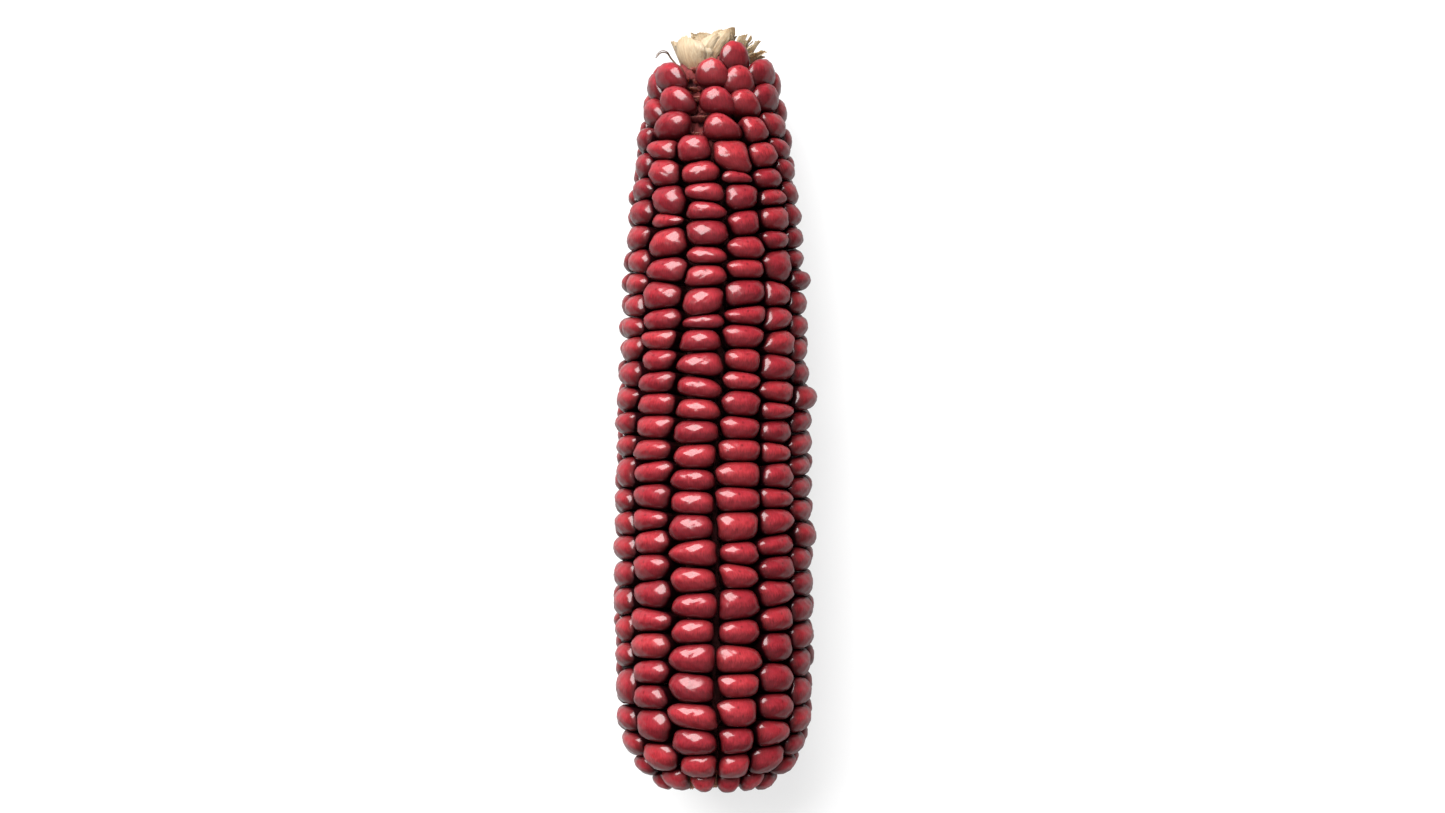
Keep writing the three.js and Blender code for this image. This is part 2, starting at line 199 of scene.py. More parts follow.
def cob_radius(s):
    at_butt, gained = COB_BUTT
    share = at_butt + gained * smooth(s, COB_FULL_FROM, COB_FULL_AT)
    return COB_RADIUS * share * taper(s, COB_TAPER)


def foot_station(s):
    """Where a kernel whose crown is at station s has its foot."""
    fanned = s + BUTT_LEAN * np.exp(-s / BUTT_LEAN_FADE)
    return fanned - TIP_LEAN * np.exp((s - TAPER_END) / TIP_LEAN_FADE) - FOOT_BACK


def walk(*coordinates):
    """The distance walked at each point of a line, from 0."""
    steps = [np.diff(values) for values in coordinates]
    return np.concatenate([[0], np.cumsum(np.hypot(*steps))])


# Length along the crown profile against station, so that kernels are spaced along the surface.
STATIONS = np.arange(FIRST_STATION, LAST_STATION, 0.1)
ARC = walk(STATIONS, crown_radius(STATIONS))


def length_at(s):
    return np.interp(s, STATIONS, ARC)


def station_at(length):
    return np.interp(length, ARC, STATIONS)


def boundary(row, s):
    """Angle of the boundary on the low side of a row, in degrees."""
    k = row % ROWS
    turn = 360 * (row // ROWS)
    twist = sum(degrees * smooth(s, low, high) for degrees, low, high in TWISTS)
    wave = WAVE_DEGREES * np.sin(2 * math.pi * s / WAVE_LENGTH + WAVE_SHIFT * k)
    nearness = max(0, (k - SPREAD_FIRST_ROW) / (ROWS - 1 - SPREAD_FIRST_ROW))
    spread = SPREAD_DEGREES * nearness * smooth(s, SPREAD_FROM, SPREAD_TO)
    return turn + 360 / ROWS * k + BOUNDARY_SHIFT[k] + twist + wave + spread


def usual_thickness(share):
    """Kernels are thickest at the butt and thinnest in the upper middle of the ear."""
    return 0.95 + 0.25 * (1 - float(smooth(share, 0, 0.45))) + 0.1 * float(smooth(share, 0.85, 1))


def kernels_of(row):
    """Each kernel of a row: its two ends along the crown profile, and how far it stands proud."""
    count, end, loose = ROW_PLAN[row]
    odd = ODD_THICKNESS.get(row, {})
    proud = PROUD.get(row, {})
    thickness = [
        odd.get(i, 0.9 + 0.2 * chance(row, i, 1)) * usual_thickness(i / count) for i in range(count)
    ]
    unit = length_at(end) / sum(thickness)
    kernels = []
    start = 0.0
    for i in range(count):
        stop = start + unit * thickness[i]
        squeezed = SQUEEZED_RISE if thickness[i] < SQUEEZED else 0
        rise = (chance(row, i, 2) - 0.5) * PRESSED_UNEVEN + squeezed + proud.get(i, 0)
        kernels.append({"row": row, "index": i, "from": start, "to": stop, "rise": rise,
                        "loose": False, "turn": 0})
        start = stop
    for j, (station, turn) in enumerate(loose):
        half = LOOSE_HALF + 0.2 * chance(row, j, 5)
        middle = length_at(station)
        rise = (chance(row, j, 6) - 0.5) * LOOSE_UNEVEN
        kernels.append({"row": row, "index": count + j, "from": middle - half, "to": middle + half,
                        "rise": rise, "loose": True, "turn": turn})
    return kernels


def slant(row, i):
    """Half the difference in station between the two ends of the edge before kernel i."""
    count = ROW_PLAN[row][0]
    return 0 if i == 0 or i >= count else (chance(row, i, 3) - 0.5) * SLANT


ALL_ROWS = [kernels_of(row) for row in range(ROWS)]


# ---- Ear coordinates to the frame ----
def polar(r, angle, s):
    a = np.radians(angle)
    return np.stack(np.broadcast_arrays(r * np.sin(a), s, r * np.cos(a)), -1)


def lay_down():
    """The transform from ear coordinates to the frame, found from where the CAD cob lies."""
    low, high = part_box("cob")
    tilt = math.radians(REST_TILT)
    tip_y = REST_STATION + (COB_TIP - REST_STATION) * math.cos(tilt)
    to_origin = Matrix.Translation(((low.x + high.x) / 2, high.y - tip_y * MM, 0))
    lean = (
        Matrix.Translation((0, REST_STATION, AXIS_HEIGHT))
        @ Matrix.Rotation(-tilt, 4, "X")
        @ Matrix.Translation((0, -REST_STATION, 0))
    )
    return to_origin @ Matrix.Scale(MM, 4) @ lean


EAR = np.array(lay_down())
ABOVE_FLOOR = 0.00003


def in_frame(points):
    placed = np.asarray(points, float).reshape(-1, 3) @ EAR[:3, :3].T + EAR[:3, 3]
    placed[:, 2] = np.maximum(placed[:, 2], ABOVE_FLOOR)
    return placed


# ---- Meshes ----
class Shape:
    """Collects points in ear coordinates, faces and point attributes of one piece."""

    def __init__(self):
        self.points = []
        self.faces = []
        self.attributes = {}
        self.count = 0

    def add(self, points, faces, **attributes):
        points = np.asarray(points, float).reshape(-1, 3)
        self.points.append(points)
        self.faces += [tuple(self.count + i for i in face) for face in faces]
        for name, values in attributes.items():
            values = np.asarray(values, float)
            if values.ndim == 0:
                values = np.full(len(points), float(values))
            self.attributes.setdefault(name, []).append(values)
        self.count += len(points)

    def piece(self, name, material, slot, *replaced):
        mesh = bpy.data.meshes.new(name)
        mesh.from_pydata(in_frame(np.concatenate(self.points)).tolist(), [], self.faces)
        for attribute, parts in self.attributes.items():
            values = np.concatenate(parts)
            kind = "FLOAT" if values.ndim == 1 else "FLOAT_VECTOR"
            key = "value" if values.ndim == 1 else "vector"
            layer = mesh.attributes.new(attribute, kind, "POINT")
            layer.data.foreach_set(key, values.ravel().astype(np.float32))
        mesh.shade_smooth()
        mesh.materials.append(material)
        mesh.update()
        obj = bpy.data.objects.new(name, mesh)
        bpy.context.scene.collection.objects.link(obj)
        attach(obj, "root")
        if replaced:
            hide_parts(*replaced)


def tube_faces(rings, around):
    """Faces between rings of points, in order, and a fan to one more point at each end."""
    faces = []
    for i in range(rings - 1):
        for j in range(around):
            k = (j + 1) % around
            here, above = i * around, (i + 1) * around
            faces.append((above + j, above + k, here + k, here + j))
    first_end = rings * around
    last_ring = first_end - around
    faces += [(j, (j + 1) % around, first_end) for j in range(around)]
    faces += [(last_ring + (j + 1) % around, last_ring + j, first_end + 1) for j in range(around)]
    return faces


def outline(power_a, power_b, half_a, half_b):
    """SEGMENTS points round |a|^power_a + |b|^power_b = 1, evenly spaced at the real size."""
    t = np.linspace(0, 2 * math.pi, 241)
    a = np.sign(np.cos(t)) * np.abs(np.cos(t)) ** (2 / power_a)
    b = np.sign(np.sin(t)) * np.abs(np.sin(t)) ** (2 / power_b)
    walked = walk(a * half_a, b * half_b)
    even = np.linspace(0, walked[-1], SEGMENTS, endpoint=False)
    return np.interp(even, walked, a), np.interp(even, walked, b)


# ---- Kernels ----
def joints_on(row, side):
    """Stations where two pressed kernels of a row meet, on one side of it."""
    pressed = [k for k in ALL_ROWS[row % ROWS] if not k["loose"]]
    return [station_at(k["from"] - side * slant(row % ROWS, k["index"])) for k in pressed[1:]]


def notches(row, s):
    """How far the boundary on a row's low side swerves, in millimetres towards higher angles."""
    above = sum(np.exp(-(((s - e) / NOTCH_WIDTH) ** 2)) for e in joints_on(row, -1))
    below = sum(np.exp(-(((s - e) / NOTCH_WIDTH) ** 2)) for e in joints_on(row - 1, 1))
    return NOTCH * (above - below)


NOTCH_TABLE = [notches(row, STATIONS) for row in range(ROWS)]


def row_point(kernel, a, b, depth):
    """A point of a kernel's cell: a from -1 to 1 across the row, b from 0 to 1 along it, and depth
    0 at the foot of the CAD row to 1 at the ear's profile."""
    row, i = kernel["row"], kernel["index"]
    lean = 0 if kernel["loose"] else lerp(slant(row, i), slant(row, i + 1), b)
    s = station_at(lerp(kernel["from"], kernel["to"], b) - a * lean)
    foot = foot_station(s)
    r = lerp(cob_radius(foot) + COB_GAP, crown_radius(s) + kernel["rise"], depth)
    per_mm = 180 / math.pi / r
    low = boundary(row, s) + CLEAR * per_mm
    high = boundary(row + 1, s) - CLEAR * per_mm
    if not kernel["loose"]:
        low = low + np.interp(s, STATIONS, NOTCH_TABLE[row]) * per_mm
        high = high + np.interp(s, STATIONS, NOTCH_TABLE[(row + 1) % ROWS]) * per_mm
    angle = lerp(low, high, (a + 1) / 2) + kernel["turn"]
    return polar(r, angle, lerp(foot, s, depth))


def kernel_rings(style, luck, drop, depth_mm):
    """The rings of a kernel, from its peak to its foot. Each is its share of the outline's width
    and length, its height over the peak, and its level: 1 at the peak, 0 at the shoulder, -1 at
    the foot."""
    crown_a, crown_b = (lerp(*limits, luck[n]) for limits, n in zip(style["crown"], (1, 2)))
    narrows_a, narrows_b = style["narrows"]
    rings = []
    for j in range(1, CROWN_RINGS + 1):
        theta = math.radians(90 * (j / CROWN_RINGS) ** 0.92)
        across = math.sin(theta) ** (2 / crown_a)
        along = math.sin(theta) ** (2 / crown_b)
        rings.append((across, along, -drop * (1 - math.cos(theta) ** 1.05), math.cos(theta)))
    for j in range(1, SIDE_RINGS + 1):
        t = j / SIDE_RINGS
        height = lerp(-drop, -depth_mm - FOOT_SINK, t**0.9)
        rings.append((1 - narrows_a * t**1.4, 1 - narrows_b * t**1.2, height, -t))
    return rings


def kernel_points(rings, style, luck, half_a, half_b, stout):
    """A kernel's points as a across its row and b along it, -1 to 1, height and level: its rings,
    then its peak and the middle of its foot."""
    outer_a, outer_b = (lerp(*limits, luck[n]) for limits, n in zip(style["outer"], (1, 2)))
    inner_a, inner_b = CROWN_SQUARENESS
    tilt_a = (luck[3] - 0.5) * 0.5
    tilt_b = (luck[4] - 0.5) * 0.5
    wedge = (luck[5] - 0.5) * 0.2
    skew = (luck[6] - 0.5) * 0.12
    wobble = [(n, 0.022 * luck[5 + n], 2 * math.pi * luck[6 + n]) for n in (2, 3)]
    # A loose kernel narrows towards the tip, and swells into the room around it.
    loose = style is LOOSE
    point = 0.12 + 0.16 * luck[9] if loose else 0
    a_rings, b_rings, heights = [], [], []
    for n, (across, along, height, level) in enumerate(rings):
        blend = min(1, (n + 1) / CROWN_RINGS) ** 2.2
        square_a, square_b = lerp(inner_a, outer_a, blend), lerp(inner_b, outer_b, blend)
        a, b = outline(square_a, square_b, half_a, half_b)
        around = np.arctan2(b, a)
        shrink = 1 - sum(size * (1 + np.sin(k * around + phase)) for k, size, phase in wobble)
        a = a * across * shrink
        b = b * along * shrink
        a = a * (1 - abs(wedge) + wedge * b) * (1 - point * (b + 0.6))
        b = b * (1 - abs(skew) + skew * a)
        if loose:
            a = a * stout
            b = b * STOUT_ALONG
        a_rings.append(a)
        b_rings.append(b)
        heights.append(height + max(0, level) * (tilt_a * a + tilt_b * b))
    a = np.concatenate([*a_rings, [0, 0]])
    b = np.concatenate([*b_rings, [0, 0]])
    foot_height = rings[-1][2]
    height = np.concatenate([*heights, [0, foot_height]]) + PEAK
    level = np.concatenate([np.repeat([ring[3] for ring in rings], SEGMENTS), [1, -1]])
    dents = 0.07 * np.sin(2.3 * a * half_a + 9 * luck[7]) * np.sin(3.1 * b * half_b + 9 * luck[8])
    return a, b, height + dents * np.clip(level * 3, 0, 1), level


def shaded_level(kernel, level, b):
    """The level that the skin is coloured by, and so its painted shade. Walls that face the butt,
    the tip or a gap are seen, and their painted shade is maroon, not as dark as a groove's."""
    seen = np.ones_like(b) if kernel["loose"] else np.zeros_like(b)
    if kernel["index"] == 0:
        seen = smooth(-b, 0.1, 0.7)
    if kernel["index"] == ROW_PLAN[kernel["row"]][0] - 1:
        seen = smooth(b, 0.1, 0.7)
    return np.where(level < 0.3, lerp(level, 0.3 + 0.1 * np.minimum(level, 0), seen), level)


def add_kernel(shape, kernel):
    """One kernel: a domed crown on a rounded outline, and sides that taper to its foot."""
    row = kernel["row"]
    style = LOOSE if kernel["loose"] else PRESSED
    luck = [chance(row, kernel["index"], n) for n in range(10, 22)]
    middle = station_at((kernel["from"] + kernel["to"]) / 2)
    cell = math.radians(float(boundary(row + 1, middle) - boundary(row, middle)))
    half_a = cell * float(crown_radius(middle)) / 2
    half_b = (kernel["to"] - kernel["from"]) / 2
    foot = foot_station(middle)
    depth_mm = math.hypot(crown_radius(middle) - cob_radius(foot) - COB_GAP, middle - foot)

    drop = style["shoulder"] * lerp(0.9, 1.1, luck[0]) * min(1, half_b / THIN)
    stout = lerp(*STOUT, float(smooth(middle, STOUT_FROM, STOUT_TO)))
    rings = kernel_rings(style, luck, drop, depth_mm)
    a, b, height, level = kernel_points(rings, style, luck, half_a, half_b, stout)

    points = row_point(kernel, a, b / 2 + 0.5, 1 + height / depth_mm)
    level = shaded_level(kernel, level, b)
    # The distance from the scar of the silk, a dot on the tip side of the crown.
    scar = np.hypot(a * half_a - 0.12 * half_a * (luck[8] - 0.5), (b - 0.42) * half_b)
    skin = np.stack([a * half_a, b * half_b, np.full_like(a, 20 * luck[9])], -1)
    faces = tube_faces(len(rings), SEGMENTS)
    # b is also stored to paint shade: the skin is coloured darker towards each kernel's butt end.
    shape.add(points, faces, level=level, tone=luck[10], skin=skin, scar=scar, germ=b)


def build_kernels(material):
    loose_names = iter(f"tip_kernel_{n:02d}" for n in range(1, 60))
    for row, kernels in enumerate(ALL_ROWS):
        pressed = Shape()
        for kernel in kernels:
            if kernel["loose"]:
                single = Shape()
                add_kernel(single, kernel)
                name = next(loose_names)
                single.piece("ripe_" + name, material, "kernel_skin", name)
            else:
                add_kernel(pressed, kernel)
        name = f"kernel_row_{row + 1:02d}"
        pressed.piece("ripe_" + name, material, "kernel_skin", name)


# ---- Cob ----
COB_AROUND = 288
COB_RINGS = 420
CUP_PITCH = 4.6  # from one cup to the next along a row
CUP_STAGGER = 2.3  # and how far the next row's cups are shifted
CUP_DEPTH = 1.25
RIM_HEIGHT = 0.45
BUTT_END = 6  # the broken butt ends before this station
PITH_RADIUS = 4.6
RIND_RADIUS = 4.9
HUSK_RINGS = (6.1, 7.0, 7.9)  # radii of the rings that the husks left


def cob_profile():
    """The cob's outline, as radius and station, from the middle of the butt to the tip."""
    body = [5.6, 9, 14, 20, 30, 45, 60, 75, 90, 105, 115, 124, 131, 137, 140.5]
    butt = [(0.01, 3.5), (2.5, 3.45), (4.6, 3.4), (5.4, 3.7), (6.4, 4.1), (7.6, 4.5), (8.5, 4.9)]
    tip = [(6.3, 142.4), (5.2, 144.2), (3.6, 145.4), (1.8, 146.1), (0.01, 146.3)]
    corners = np.array(butt + [(float(cob_radius(s)), s) for s in body] + tip)
    walked = walk(*corners.T)
    # More rings at the two ends, where the cob shows.
    t = np.linspace(0, 1, COB_RINGS)
    even = walked[-1] * (t + 0.11 * np.sin(2 * math.pi * (t - 0.5)))
    return np.interp(even, walked, corners[:, 0]), np.interp(even, walked, corners[:, 1])


def rows_under(station, angle):
    """For each point of the cob: the row it lies under, and where across it, from 0 to 1."""
    starts = np.array([boundary(row, station) for row in range(ROWS + 1)])
    row_of = np.zeros((len(station), len(angle)))
    across = np.zeros_like(row_of)
    for i in range(len(station)):
        around = (angle - starts[0, i]) % 360 + starts[0, i]
        n = np.clip(np.searchsorted(starts[:, i], around, side="right") - 1, 0, ROWS - 1)
        row_of[i] = n
        across[i] = (around - starts[n, i]) / (starts[n + 1, i] - starts[n, i])
    return row_of, across


def cups(s, row_of, across):
    """How deep in a cup each point of the cob's side lies, from 0 on the rims to 1."""
    phase = (s + CUP_STAGGER * row_of) / CUP_PITCH
    along = np.abs((phase % 1) * 2 - 1)
    side = np.abs(across * 2 - 1)
    return (1 - smooth(side, 0.35, 0.95)) * smooth(along, 0.25, 0.8)


def shank_scar(r, turn):
    """How far the butt stands out: rough pith inside a low rind, then the husks' worn rings."""
    ragged = np.sin(turn * 7 + 1) * 0.25 + np.sin(turn * 17) * 0.12
    rind = np.exp(-(((r - RIND_RADIUS - 0.25 * ragged) / 0.35) ** 2)) * (0.75 + 0.35 * ragged)
    fibres = 0.16 * np.sin(r * 7 + 3 * np.sin(turn * 5)) * np.sin(turn * 23)
    rings = sum(0.4 * np.exp(-(((r - q) / 0.22) ** 2)) for q in HUSK_RINGS)
    return rind + fibres * (r < PITH_RADIUS) + rings * (0.8 + 0.5 * ragged)


def build_cob(material):
    radius, station = cob_profile()
    angle = np.linspace(0, 360, COB_AROUND, endpoint=False)
    turn = np.radians(angle)
    s = station[:, None] + 0 * angle[None, :]
    r = radius[:, None] + 0 * angle[None, :]
    row_of, across = rows_under(station, angle)
    pit = cups(s, row_of, across)
    on_body = smooth(s, 7, 12) * (1 - smooth(s, 143.5, 145.8))
    rough = 0.14 * np.sin(s * 9.1 + row_of * 2) * np.sin(turn * 47 + s * 1.3)
    relief = on_body * (RIM_HEIGHT - CUP_DEPTH * pit) + rough * smooth(radius, 5, 8)[:, None]
    at_butt = (station < BUTT_END)[:, None] * np.ones_like(r)
    out = at_butt * shank_scar(r, turn)
    points = polar(r + relief * (1 - at_butt), angle[None, :], s - out)
    ends = [polar(0, 0, station[0]), polar(0, 0, station[-1])]
    points = np.concatenate([points.reshape(-1, 3), ends])
    faces = tube_faces(COB_RINGS, COB_AROUND)
    pit = np.concatenate([(pit * on_body).ravel(), [0, 0]])
    reach = np.concatenate([r.ravel(), [0, 0]])
    butt = np.concatenate([at_butt.ravel(), [1, 0]])
    shape = Shape()
    shape.add(points, faces, pit=pit, reach=reach, butt=butt, along=points[:, 1])
    shape.piece("cob_body", material, "cob_wood", "cob")


# ---- Papery scales ----
SCALE_ACROSS = 23
SCALE_ALONG = 26
VEINS = 9.5  # how many lie across a scale


def swept(path, t):
    """Points on a curve of three [r, s] points, and the unit vectors that point out of it."""
    (r0, s0), (r1, s1), (r2, s2) = path
    r = (1 - t) ** 2 * r0 + 2 * t * (1 - t) * r1 + t**2 * r2
    s = (1 - t) ** 2 * s0 + 2 * t * (1 - t) * s1 + t**2 * s2
    dr = 2 * (1 - t) * (r1 - r0) + 2 * t * (r2 - r1)
    ds = 2 * (1 - t) * (s1 - s0) + 2 * t * (s2 - s1)
    size = np.hypot(dr, ds) + 1e-9
    return r, s, ds / size, -dr / size


def add_scale(shape, angle, path, width, seed, bend=0.0, fork=0.0, cup=0.9, thick=0.16, tint=0.0):
    """A glume: a veined, cupped papery scale swept up a curve of three [r, s] points.

    bend is how many degrees it turns round the axis on its way up, fork the depth of the notch
    torn in its end, cup how far its edges wrap inwards, and tint how red it is, from 0 to 1."""
    luck = [chance(seed, 7, n) for n in range(8)]
    x = np.linspace(-1, 1, SCALE_ACROSS)[None, :]
    t = np.linspace(0, 1, SCALE_ALONG)[:, None]
    ragged = 0.05 * np.sin(9 * x + 6 * luck[0]) + 0.035 * np.sin(23 * x + 6 * luck[1])
    tear = fork * np.exp(-(((x - 0.3 * (luck[2] - 0.5)) / 0.2) ** 2))
    reach = t * (1 - 0.18 * x**2 - np.abs(ragged) - tear)
    r, s, out_r, out_s = swept(path, reach)
    half = width / 2 * np.sin(math.pi * lerp(0.2, 0.86, reach)) ** 0.7
    half = half * (1 + 0.05 * np.sin(7 * t + 6 * luck[3]))
    veins = 0.05 * np.cos(VEINS * math.pi * x) * (1 - x**2)
    keel = 0.22 * np.exp(-((x / 0.12) ** 2)) * (1 - t)
    curl = -cup * half * 0.42 * np.abs(x) ** 2.2
    frill = 0.22 * np.abs(x) ** 3 * np.sin(11 * t + 6 * luck[4] + 2 * x)
    lift = 0.5 * (luck[5] - 0.3) * t**3
    turn = np.radians(angle + bend * reach + 3 * (luck[6] - 0.5) * t)
    layers = []
    for side in (0.5, -0.5):
        body = thick * side * (1 - 0.75 * np.abs(x) ** 3) * (1 - 0.5 * t)
        up = veins + keel + curl + frill + lift + body
        radius = r + up * out_r
        station = s + up * out_s
        span = half * x * (1 - 0.12 * cup * np.abs(x))
        px = radius * np.sin(turn) + span * np.cos(turn)
        pz = radius * np.cos(turn) - span * np.sin(turn)
        layers.append(np.stack([px, station + 0 * px, pz], -1))
    points = np.concatenate([layer.reshape(-1, 3) for layer in layers])
    faces = sheet_faces(SCALE_ALONG, SCALE_ACROSS)
    vein = np.tile((np.cos(VEINS * math.pi * x) * 0.5 + 0.5 + 0 * t).ravel(), 2)
    tip = np.tile((t + 0 * x).ravel(), 2)
    grain = np.stack([np.tile((half * x).ravel(), 2), np.tile((reach * 8).ravel(), 2),
                      np.full(len(points), 9.0 * luck[7])], -1)
    shape.add(points, faces, vein=vein, tip=tip, grain=grain, tint=tint)


def sheet_faces(along, across):
    """A closed thin sheet: an outer grid of points, then an inner one, sewn at the edges."""
    inner = along * across
    faces = []
    for i in range(along - 1):
        for j in range(across - 1):
            a = i * across + j
            quad = (a, a + 1, a + across + 1, a + across)
            faces.append(quad)
            faces.append(tuple(inner + k for k in quad[::-1]))
    rim = list(range(across))
    rim += [i * across + across - 1 for i in range(1, along)]
    rim += [(along - 1) * across + j for j in range(across - 2, -1, -1)]
    rim += [i * across for i in range(along - 2, 0, -1)]
    for a, b in zip(rim, rim[1:] + rim[:1]):
        faces.append((b, a, inner + a, inner + b))
    return faces


# ---- The papery tip, at the CAD glumes' places ----
# Each scale is its angle, its curve of three [r, s] points, its width, and its bend in degrees.
OUTER_GLUMES = (
    (-46, ((6.9, 142.0), (9.0, 145.0), (7.9, 147.9)), 8.6, 2),
    (-14, ((6.9, 143.6), (7.1, 147.0), (6.2, 149.4)), 4.4, 42),
    (92, ((6.9, 142.4), (7.6, 146.2), (9.4, 147.6)), 5.2, 6),
    (132, ((6.9, 142.4), (7.4, 146.4), (8.6, 148.4)), 5.0, 8),
    (172, ((6.9, 142.4), (7.5, 146.2), (9.0, 148.0)), 5.4, 10),
    (214, ((6.9, 142.4), (7.3, 146.6), (8.2, 149.0)), 5.2, 12),
    (258, ((6.9, 142.4), (7.6, 146.0), (8.6, 147.4)), 5.6, 12),
)
INNER_GLUMES = (
    (-38, ((4.4, 145.7), (4.6, 147.8), (5.2, 148.8)), 4.0, 12),
    (40, ((4.3, 145.8), (4.4, 148.4), (4.8, 150.0)), 4.0, 10),
    (150, ((4.4, 145.7), (4.6, 148.0), (5.2, 149.2)), 4.2, 8),
    (235, ((4.4, 145.7), (4.5, 148.2), (5.0, 149.4)), 4.0, 8),
)
TORN_GLUMES = (
    (47, ((6.7, 144.0), (7.8, 146.6), (9.2, 148.4)), 4.6, 0),
    (71, ((7.0, 142.5), (9.0, 144.9), (11.0, 145.4)), 4.4, 0),
)
# Smaller scales in front of the outer glumes.
FRONT_SCALES = (
    (-30, ((6.9, 143.2), (7.6, 146.2), (6.9, 148.5)), 3.8, 36),
    (-34, ((7.2, 142.6), (8.2, 144.4), (8.2, 146.2)), 3.8, 4),
)
# Rings of scales in the cup of the inner glumes: how many, their radius and station, and how far
# they reach.
CUP_SCALES = (
    (11, 3.5, 145.5, 149.0),
    (7, 2.2, 145.9, 149.3),
    (4, 0.9, 146.0, 148.9),
)
# Scales round the foot of each loose kernel: degrees across, distance along, and height.
FOOT_SCALES = ((-7, -1.6, 3.0), (8, -1.2, 2.6), (0, 1.9, 2.8))
BARE_ROW = 11
BARE_SEATS = (130.6, 134.6, 138.6, 142.0)  # where scales stand in the bare row
BUTT_SCALES = 26
# The first random seed of each group of small scales.
COB_CHAFF_SEED = 200
FRONT_SEED = 280
CUP_SEED = 300
BUTT_SEED = 400


def rooted(path):
    """A curve that starts inside the cob, so that its scale grows out of it."""
    (r0, s0), bend, end = path
    return ((r0 - 1.1, s0 - 0.9), bend, end)


def nested(path, inwards, shorter):
    """A curve a little nearer the axis and shorter, for a second scale inside the first."""
    (r0, s0), (r1, s1), (r2, s2) = path
    return ((r0 - inwards, s0), (r1 - inwards, s1 - shorter / 2), (r2 - inwards, s2 - shorter))


def build_glumes(material, kind, glumes, seeds, turned, inset, share, forks=(0, 0), cup=0.9):
    """Glumes of one kind, each lined with a second, smaller scale that is turned a little."""
    for n, (angle, path, width, bend) in enumerate(glumes, 1):
        # The inner ones stand on the end of the cob, the others grow out of its side.
        if kind != "inner":
            path = rooted(path)
        lining = nested(path, *inset)
        shape = Shape()
        add_scale(shape, angle, path, width, seeds[0] + n, bend, forks[0], cup)
        add_scale(shape, angle + turned, lining, width * share, seeds[1] + n, bend, forks[1])
        shape.piece(f"papery_{kind}_glume_{n}", material, "papery_chaff", f"{kind}_glume_{n}")


def build_tip(material):
    """The glumes round the end of the cob, each kind with its seeds and the turn of its linings."""
    build_glumes(material, "outer", OUTER_GLUMES, (30, 50), 14, inset=(0.9, 0.8), share=0.8)
    build_glumes(material, "inner", INNER_GLUMES, (70, 80), -30, inset=(0.6, 0.6), share=0.85)
    build_glumes(material, "torn", TORN_GLUMES, (90, 95), 12, inset=(0.7, 1.0), share=0.8,
                 forks=(0.5, 0.35), cup=0.5)


def build_tip_chaff(material):
    """Small beige scales in front of the outer glumes, and in the cup of the inner ones."""
    shape = Shape()
    for n, (angle, path, width, bend) in enumerate(FRONT_SCALES):
        add_scale(shape, angle, rooted(path), width, FRONT_SEED + n, bend, thick=0.12)
    seed = CUP_SEED
    for scales, base_r, base_s, top in CUP_SCALES:
        for n in range(scales):
            seed += 1
            luck = chance(seed, 1, 9)
            angle = 360 * (n + 0.6 * luck) / scales
            middle = (base_r + 0.5, base_s + 1.6)
            end = (base_r + 0.3 + 0.9 * luck, top - 0.9 * chance(seed, 2, 9))
            path = ((base_r, base_s), middle, end)
            add_scale(shape, angle, path, 2.4 + 0.8 * luck, seed, 24, cup=0.8, thick=0.1)
    shape.piece("tip_chaff", material, "papery_chaff")


def build_cob_chaff(material):
    """Small red-brown scales round the feet of the loose kernels and in the bare stretch."""
    shape = Shape()
    seats = [(k["row"], (k["from"] + k["to"]) / 2, k["turn"])
             for kernels in ALL_ROWS for k in kernels if k["loose"]]
    seats += [(BARE_ROW, length_at(s), 0) for s in BARE_SEATS]
    seed = COB_CHAFF_SEED
    for row, length, turn in seats:
        s = float(station_at(length))
        foot = float(foot_station(s))
        middle = float(boundary(row, s) + boundary(row + 1, s)) / 2 + turn
        r = float(cob_radius(min(foot, 141))) - 0.3
        for across, along, tall in FOOT_SCALES:
            seed += 1
            at = foot + along + 0.6 * (chance(seed, 1, 1) - 0.5)
            path = ((r, at), (r + tall * 0.6, at + 0.3), (r + tall, at + 0.9 * tall * 0.5))
            angle = middle + across + 5 * (chance(seed, 2, 1) - 0.5)
            tint = 1 - float(smooth(at, 140, 148))
            width = 2.8 + chance(seed, 3, 1)
            add_scale(shape, angle, path, width, seed, cup=0.7, thick=0.1, tint=tint)
    shape.piece("cob_chaff", material, "papery_chaff")


def build_butt_chaff(material):
    """Short papery scales in the ring between the shank's scar and the lowest kernels."""
    shape = Shape()
    for n in range(BUTT_SCALES):
        wander = chance(n, 4, 4) - 0.5
        inwards = 0.5 * chance(n, 5, 4)
        angle = 360 * n / BUTT_SCALES + 6 * wander
        path = ((8.5, 5.9), (8.9 - inwards, 4.0), (8.5 - inwards, 2.3 + 0.7 * wander))
        seed = BUTT_SEED + n
        add_scale(shape, angle, path, 3.6 + wander, seed, cup=0.3, thick=0.12, tint=0.75)
    shape.piece("butt_chaff", material, "papery_chaff")


# ---- Silk ----
# Points that the silk passes, as r, angle and s.
SILK_PATH = (
    (7.0, -86, 142.4), (8.4, -84, 143.9), (9.3, -80, 144.9), (10.6, -77, 144.9), (11.8, -74, 143.8),
)
SILK_RADIUS = 0.19
SILK_FLATNESS = 0.45
SILK_STRANDS = (0.0, 0.35)  # how far each of the strands strays from the path
SILK_AROUND = 10
SILK_RINGS = 60


def spline(points, count):
    """A smooth curve through the points, as count samples."""
    points = np.asarray(points, float)
    padded = np.concatenate([[2 * points[0] - points[1]], points, [2 * points[-1] - points[-2]]])
    samples = []
    for u in np.linspace(0, len(points) - 1 - 1e-9, count):
        i = int(u)
        t = u - i
        p0, p1, p2, p3 = padded[i:i + 4]
        samples.append(0.5 * (2 * p1 + (p2 - p0) * t + (2 * p0 - 5 * p1 + 4 * p2 - p3) * t**2
                              + (3 * p1 - p0 - 3 * p2 + p3) * t**3))
    return np.array(samples)


